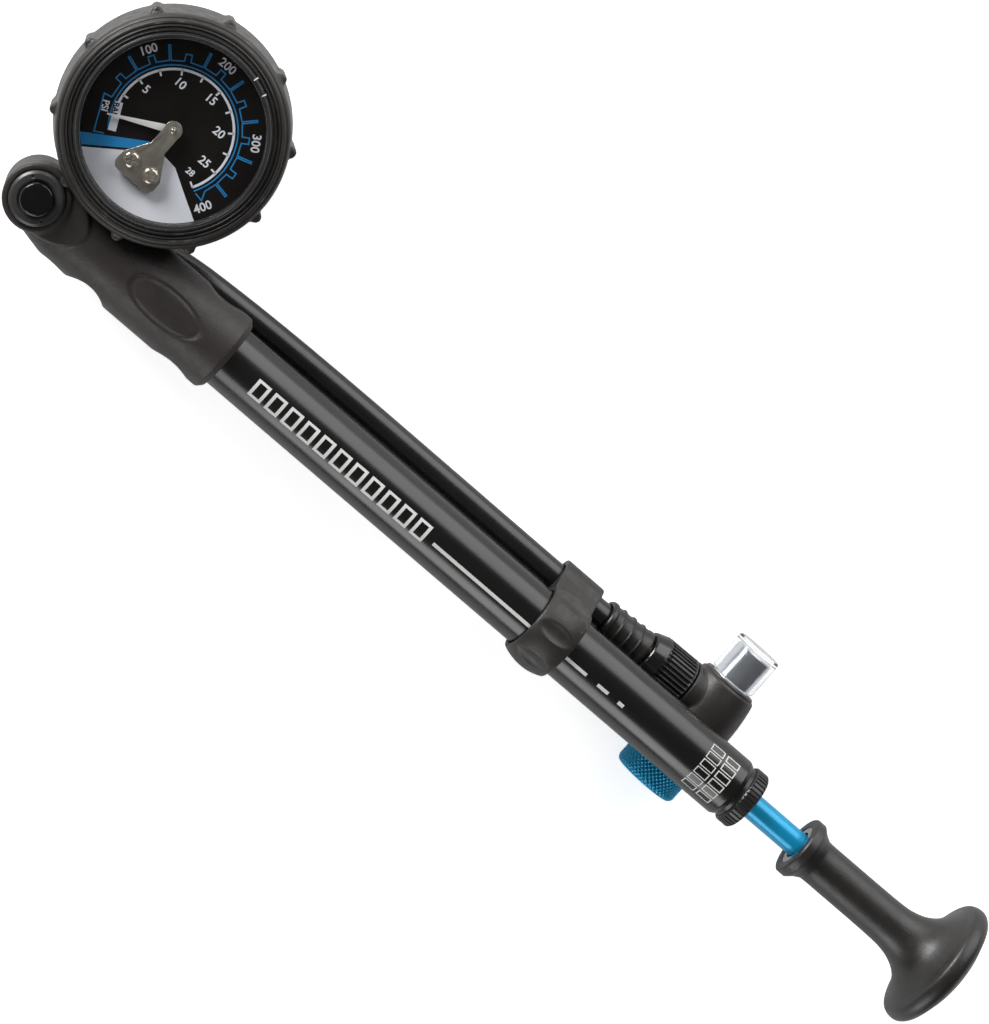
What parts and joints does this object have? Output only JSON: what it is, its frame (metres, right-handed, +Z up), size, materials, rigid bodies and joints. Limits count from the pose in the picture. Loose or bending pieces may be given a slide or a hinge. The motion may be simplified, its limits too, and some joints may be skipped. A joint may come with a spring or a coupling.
{
  "type": "shock pump",
  "caption": "High-pressure hand pump for suspension units, with a round gauge, bleed button, short clipped hose, screw-on valve chuck and mushroom handle.",
  "frame": {"origin": "middle of the whole pump's box, on the surface it lies on, dial up", "axes": "+X along the barrel from the gauge end to the handle, +Y from the barrel towards the gauge side (the valve port also points this way), +Z up out of the dial"},
  "size_m": [0.3234, 0.0819, 0.046],
  "materials": {
    "black_anodised": "satin black anodised",
    "grip_rubber": "matte warm black rubber with a fine grain",
    "hose_rubber": "smooth glossy black",
    "seal_rubber": "soft black seals",
    "cast_aluminium": "plain machined",
    "blue_anodised": "bright blue anodised",
    "polished_aluminium": "polished",
    "steel": "plated steel",
    "nickel": "bright nickel plate",
    "magnet": "nickel plated magnet",
    "brass": "turned brass",
    "gauge_black": "black moulded plastic, satin",
    "nut_black": "glossy black moulded plastic",
    "boot_black": "satin black rubber",
    "housing_black": "matte black plastic with a fine grain",
    "handle_black": "matte black plastic with a fine grain",
    "bush_plastic": "white bearing plastic",
    "clear_cap": "clear moulded plastic",
    "clear_lens": "clear moulded plastic",
    "dial_print": "printed dial, black with white and blue",
    "pointer_white": "white paint"
  },
  "bodies": {
    "pump_body": {"barrel_tube": "black_anodised", "head_body": "cast_aluminium", "head_seal_ring": "seal_rubber", "check_valve_seat": "brass", "check_valve_spring": "steel", "barrel_end_cap": "black_anodised", "cap_magnet": "magnet", "rod_guide_bush": "bush_plastic", "rod_wiper_seal": "seal_rubber", "grip_sleeve": "grip_rubber", "bleed_collar": "black_anodised", "bleed_spring": "steel", "gauge_case": "gauge_black", "gauge_boot": "grip_rubber", "gauge_bezel": "gauge_black", "lens_gasket": "seal_rubber", "gauge_lens": "clear_lens", "gauge_dial": "dial_print", "gauge_stem": "brass", "gauge_stem_seal": "seal_rubber", "movement_block": "brass", "bourdon_tube": "brass", "movement_bridge": "nickel", "movement_screws": "nickel", "hose_banjo": "cast_aluminium", "banjo_seals": "seal_rubber", "banjo_bolt": "steel", "hose": "hose_rubber", "hose_ferrule": "cast_aluminium", "hose_boot": "boot_black", "hose_end_fitting": "brass", "swivel_nut": "nut_black"},
    "check_ball": {"check_ball": "steel"},
    "pointer": {"pointer_spindle": "steel", "gauge_pointer": "pointer_white"},
    "bleed_button": {"bleed_button": "nut_black", "bleed_stem_seal": "seal_rubber"},
    "hose_clip": {"hose_clip": "grip_rubber"},
    "chuck": {"chuck_housing": "housing_black", "collar_ring": "housing_black"},
    "depressor": {"depressor_pin": "steel", "pin_seal": "seal_rubber"},
    "release_knob": {"release_knob": "blue_anodised"},
    "valve_collar": {"valve_collar": "polished_aluminium", "valve_seal": "seal_rubber"},
    "dust_cap": {"dust_cap": "clear_cap"},
    "piston_ring": {"piston_ring": "seal_rubber"},
    "plunger": {"piston": "cast_aluminium", "piston_rod": "blue_anodised", "handle_grip": "handle_black", "handle_insert": "brass", "handle_magnet": "magnet", "handle_screw": "steel"}
  },
  "joints": [
    {"name": "piston_slide", "type": "slide", "parent": "pump_body", "child": "piston_ring", "axis": [1, 0, 0], "range_m": [-0.0165, 0.1485]},
    {"name": "plunger_spin", "type": "hinge", "parent": "piston_ring", "child": "plunger", "pos_m": [-0.00757, -0.0229, 0.028], "axis": [1, 0, 0], "continuous": true},
    {"name": "check_ball_lift", "type": "slide", "parent": "pump_body", "child": "check_ball", "axis": [-1, 0, 0], "range_m": [0, 0.0008], "stiffness_N_per_m": 20, "springref_m": -0.001},
    {"name": "pointer_turn", "type": "hinge", "parent": "pump_body", "child": "pointer", "pos_m": [-0.13147, 0.0113, 0.028], "axis": [0, 0, 1], "range_deg": [-238, 0], "stiffness_Nm_per_rad": 0.00002, "springref_deg": 5.73},
    {"name": "button_press", "type": "slide", "parent": "pump_body", "child": "bleed_button", "axis": [0, 0, -1], "range_m": [0, 0.0025], "stiffness_N_per_m": 300, "springref_m": -0.002, "deforming": ["bleed_spring"]},
    {"name": "clip_slide", "type": "slide", "parent": "pump_body", "child": "hose_clip", "axis": [1, 0, 0], "range_m": [-0.04, 0]},
    {"name": "chuck_swivel", "type": "hinge", "parent": "pump_body", "child": "chuck", "pos_m": [0.07043, -0.0125, 0.0096], "axis": [0.9848, 0, -0.1736], "range_deg": [0, 55]},
    {"name": "depressor_travel", "type": "slide", "parent": "chuck", "child": "depressor", "axis": [0, 1, 0], "range_m": [0, 0.0014]},
    {"name": "knob_turn", "type": "hinge", "parent": "depressor", "child": "release_knob", "pos_m": [0.07043, -0.0229, 0.0096], "axis": [0, 1, 0], "range_deg": [0, 504]},
    {"name": "collar_spin", "type": "hinge", "parent": "chuck", "child": "valve_collar", "pos_m": [0.07043, -0.0229, 0.0096], "axis": [0, 1, 0], "continuous": true},
    {"name": "cap_pull", "type": "slide", "parent": "valve_collar", "child": "dust_cap", "axis": [0, 1, 0], "range_m": [0, 0.02]}
  ],
  "couplings": [
    {"joint": "depressor_travel", "follows": "knob_turn", "m_per_rad": 0.00015915}
  ]
}
